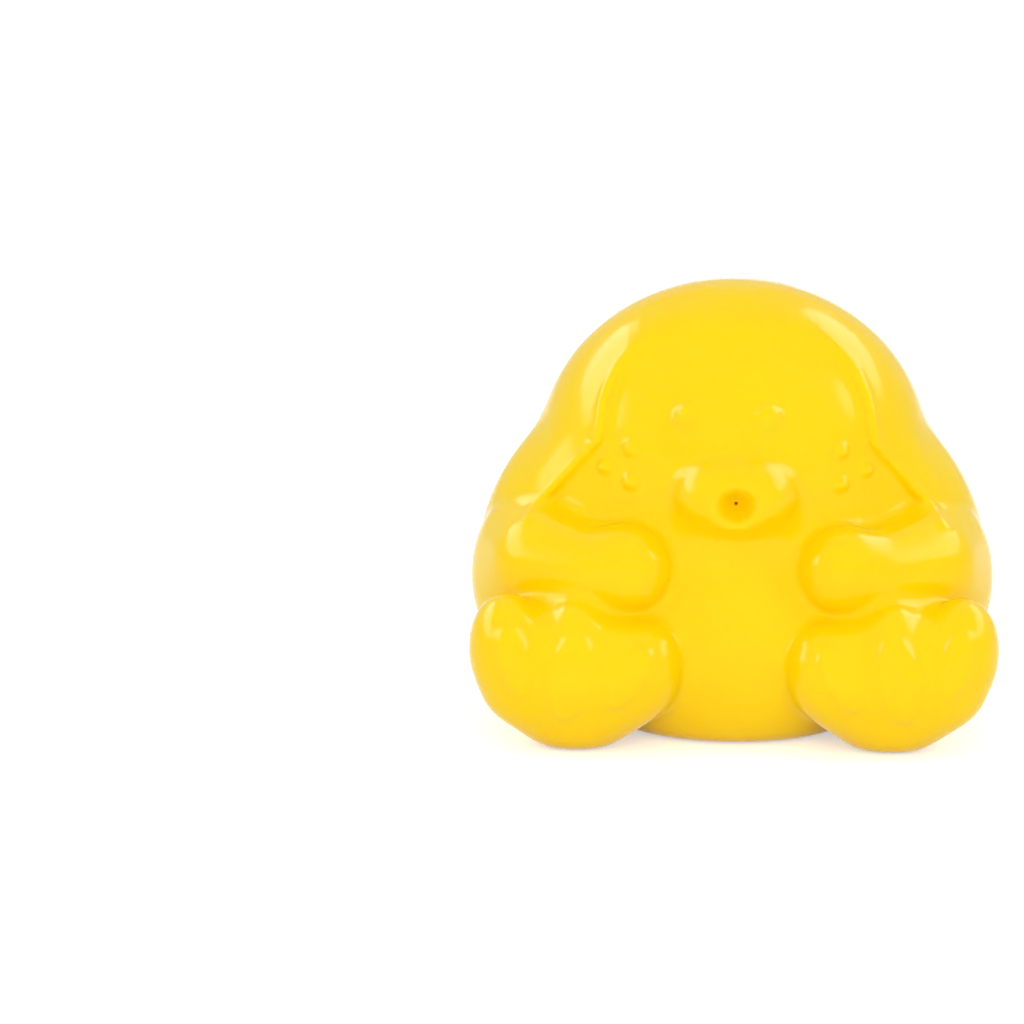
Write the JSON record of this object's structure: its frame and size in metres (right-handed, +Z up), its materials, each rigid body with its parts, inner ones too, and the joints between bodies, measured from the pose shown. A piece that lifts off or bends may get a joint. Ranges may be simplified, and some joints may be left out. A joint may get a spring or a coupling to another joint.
{
  "type": "squeaky bath toy",
  "caption": "Squeeze bath toy in the form of a seated puppy: one hollow glossy soft-vinyl skin with a squirt hole in its mouth and a reed squeaker snapped into its flat base.",
  "frame": {"origin": "middle of the toy's footprint, on the plane it stands on", "axes": "+Z up; the face looks along -Y; +X to the right for someone who looks at the face"},
  "size_m": [0.0834, 0.0609, 0.0706],
  "materials": {
    "soft_vinyl": "glossy moulded soft PVC, yellow right through",
    "squeaker_plastic": "satin moulded polyethylene, natural white",
    "reed_bed_plastic": "satin moulded styrene, ivory",
    "reed_film": "clear glossy polyester film"
  },
  "bodies": {
    "toy": {"body_shell": "soft_vinyl", "squeaker_case": "squeaker_plastic", "squeaker_lid": "squeaker_plastic", "reed_seat": "reed_bed_plastic", "reed_wedge": "reed_bed_plastic"},
    "tongue": {"reed": "reed_film"}
  },
  "joints": [
    {"name": "reed_flutter", "type": "hinge", "parent": "toy", "child": "tongue", "pos_m": [0, 0, 0.0057], "axis": [1, 0, 0], "range_deg": [-4.2, 4.2], "stiffness_Nm_per_rad": 0.003}
  ]
}
